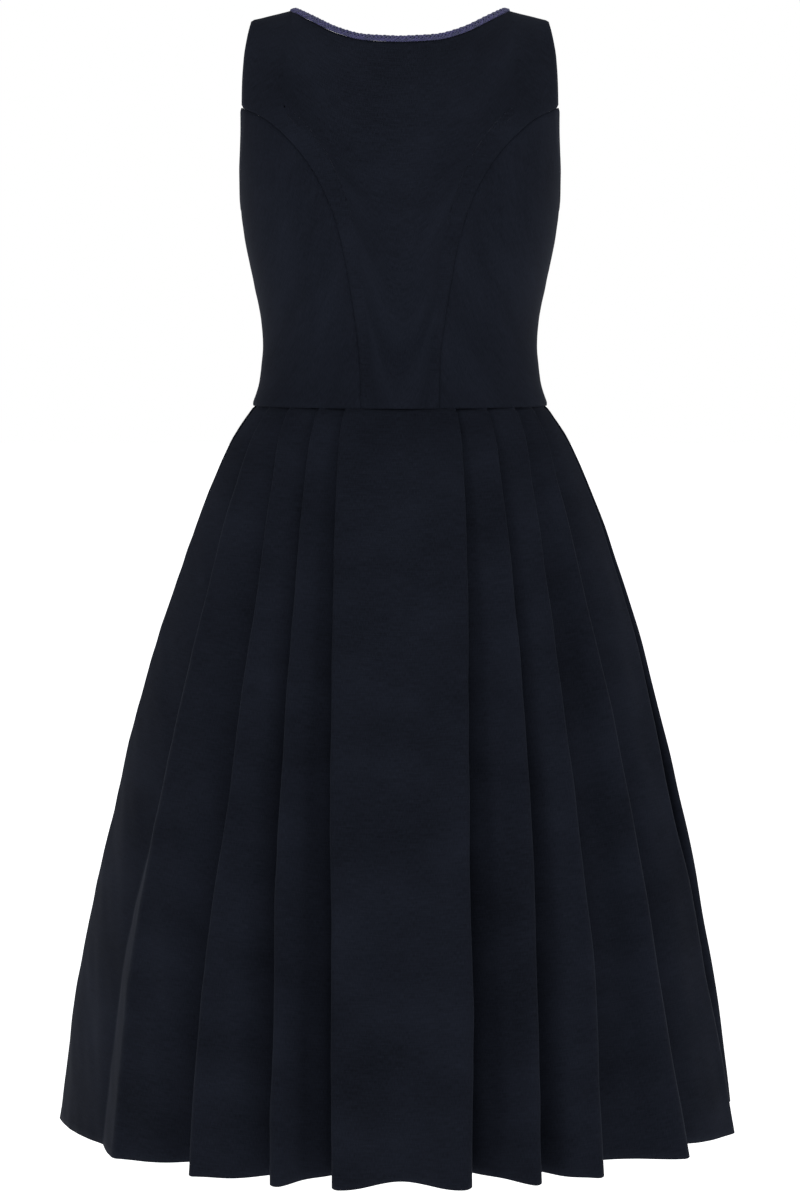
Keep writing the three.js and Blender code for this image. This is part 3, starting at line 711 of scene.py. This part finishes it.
def neck_line(step=0.75):
    """Points, outward and inward-cloth directions along the whole neckline, centre front to centre front."""
    f = np.linspace(1, 0.02, 400)
    x, z = front_neck(f)
    x = np.maximum(0.5, x)
    A = form_xq(x, level_of(x, z), True)
    NA = outward(A, True)
    xb = np.linspace(102, 0, 260)
    B = form_xq(xb, level_of(xb, back_neck(xb)), False)
    NB = outward(B, False)
    half, nh = np.vstack([A, B]), np.vstack([NA, NB])
    flip = np.array([-1, 1, 1])
    P, N = np.vstack([half, half[-2::-1] * flip]), np.vstack([nh, nh[-2::-1] * flip])
    s = np.concatenate([[0], np.cumsum(np.linalg.norm(np.diff(P, axis=0), axis=1))])
    n = int(s[-1] / step)
    at = np.linspace(0, s[-1], n)
    P = np.stack([np.interp(at, s, P[:, k]) for k in range(3)], 1)
    N = np.stack([np.interp(at, s, N[:, k]) for k in range(3)], 1)
    box = np.ones(15) / 15
    for k in range(3):
        P[7:-7, k] = np.convolve(P[:, k], box, "valid")
        N[7:-7, k] = np.convolve(N[:, k], box, "valid")
    N = unit(N)
    T = unit(np.gradient(P, axis=0))
    return at, P, N, unit(np.cross(T, N))


def tube(P, radius, sides, closed_ends=True):
    """A round cord along points, with capped ends."""
    T = unit(np.gradient(P, axis=0))
    up = np.array([0.3, 0.2, 1.0])
    A = unit(np.cross(T, up))
    for i in range(1, len(P)):
        a = A[i - 1] - T[i] * (A[i - 1] @ T[i])
        A[i] = a / np.linalg.norm(a)
    B = np.cross(T, A)
    g = np.arange(sides) * 2 * math.pi / sides
    V = P[:, None] + radius * (np.cos(g)[None, :, None] * A[:, None] + np.sin(g)[None, :, None] * B[:, None])
    n = len(P)
    ids = np.arange(n * sides).reshape(n, sides)
    r = np.roll(ids, -1, 1)
    F = np.stack([ids[:-1], r[:-1], r[1:], ids[1:]], -1).reshape(-1, 4)
    V = np.vstack([V.reshape(-1, 3), P[0] - T[0] * radius * 0.4, P[-1] + T[-1] * radius * 0.4])
    caps = []
    for j in range(0, sides, 2):
        caps.append([n * sides, ids[0, (j + 2) % sides], ids[0, (j + 1) % sides], ids[0, j]])
        caps.append([n * sides + 1, ids[-1, j], ids[-1, (j + 1) % sides], ids[-1, (j + 2) % sides]])
    return V, np.vstack([F, np.array(caps)])


def make_braid():
    s, P, N, W = neck_line()
    V, F, UV = [], [], []

    def take(v, f, uv):
        F.append(f + sum(len(a) for a in V))
        V.append(v)
        UV.append(uv)

    middle, base = 2.6, OUT + 0.35
    for k in range(STRANDS):
        ph = 2 * math.pi * (s / PITCH + k / STRANDS)
        w = middle + HALF_WIDTH * np.sin(ph)
        h = base + 0.95 + 0.42 * np.sin(2 * ph + math.pi / 2 * (k % 2))
        line = P + W * w[:, None] + N * h[:, None]
        v, f = tube(line, STRAND_R, 8)
        uv = np.vstack([np.repeat(np.stack([s, w, 0 * s + k * 40], -1), 8, 0), [[0, 0, 0], [0, 0, 0]]])
        take(v, f, uv)
    # the flat tape that the strands are worked on
    lo, hi = -0.4, 5.6
    ring = [P + W * w + N * h for w, h in ((lo, base - 0.2), (hi, base - 0.2), (hi, base + 0.35), (lo, base + 0.35))]
    n = len(P)
    v = np.stack(ring, 1).reshape(-1, 3)
    ids = np.arange(n * 4).reshape(n, 4)
    r = np.roll(ids, -1, 1)
    f = np.stack([ids[:-1], ids[1:], r[1:], r[:-1]], -1).reshape(-1, 4)
    f = np.vstack([f, [ids[0]], [ids[-1][::-1]]])
    take(v, f, np.repeat(np.stack([s, 0 * s, 0 * s], -1), 4, 0))
    return write_mesh("braid_round_neck", np.vstack(V), np.vstack(F), np.vstack(UV), braid)


trim = make_braid()
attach(trim, "root")
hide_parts("neck_braid")

# ---------------------------------------------------------------- floor, light and camera
FLOOR_Z = -1.75
bpy.ops.mesh.primitive_plane_add(size=60, location=(0, 0, FLOOR_Z))
floor = bpy.context.object
floor.name = "studio_floor"
ground = bpy.data.materials.new("studio_white")
ground.use_nodes = True
g = ground.node_tree
gb = g.nodes["Principled BSDF"]
gb.inputs["Base Color"].default_value = (0.9, 0.9, 0.9, 1)
gb.inputs["Roughness"].default_value = 0.9
gb.inputs["Emission Color"].default_value = (1, 1, 1, 1)
gb.inputs["Emission Strength"].default_value = 1.0
floor.data.materials.append(ground)

world = bpy.data.worlds.new("studio")
bpy.context.scene.world = world
world.use_nodes = True
# the camera sees plain white; the cloth gets a dimmer sky
sky = world.node_tree
sky.nodes["Background"].inputs["Color"].default_value = (1, 1, 1, 1)
seen = sky.nodes.new("ShaderNodeLightPath")
dim = sky.nodes.new("ShaderNodeMapRange")
dim.inputs["To Min"].default_value, dim.inputs["To Max"].default_value = 0.30, 1.0
sky.links.new(seen.outputs["Is Camera Ray"], dim.inputs["Value"])
sky.links.new(dim.outputs["Result"], sky.nodes["Background"].inputs["Strength"])


def soft_light(name, at, to, size, power):
    data = bpy.data.lights.new(name, "AREA")
    data.shape, data.size, data.energy = "SQUARE", size, power
    lamp = bpy.data.objects.new(name, data)
    lamp.location = at
    lamp.rotation_euler = (Vector(to) - Vector(at)).to_track_quat("-Z", "Y").to_euler()
    bpy.context.scene.collection.objects.link(lamp)


soft_light("key_left", (-2.6, -2.2, 0.9), (0, 0, -0.5), 0.9, 36)
soft_light("key_right", (2.4, -1.6, 0.4), (0, 0, -0.6), 0.8, 23)
soft_light("top", (0.2, -0.3, 2.2), (0, 0, -0.5), 1.0, 18)

TARGET, DISTANCE, PITCH_DOWN = Vector((0, 0, -0.552)), 3.167, 5.25 * DEG
camera_data = bpy.data.cameras.new("camera")
camera_data.lens, camera_data.sensor_width = 100, 36
camera = bpy.data.objects.new("camera", camera_data)
camera.location = TARGET + DISTANCE * Vector((0, -math.cos(PITCH_DOWN), math.sin(PITCH_DOWN)))
camera.rotation_euler = (TARGET - camera.location).to_track_quat("-Z", "Y").to_euler()
bpy.context.scene.collection.objects.link(camera)
bpy.context.scene.camera = camera
bpy.context.scene.view_settings.view_transform = "Standard"
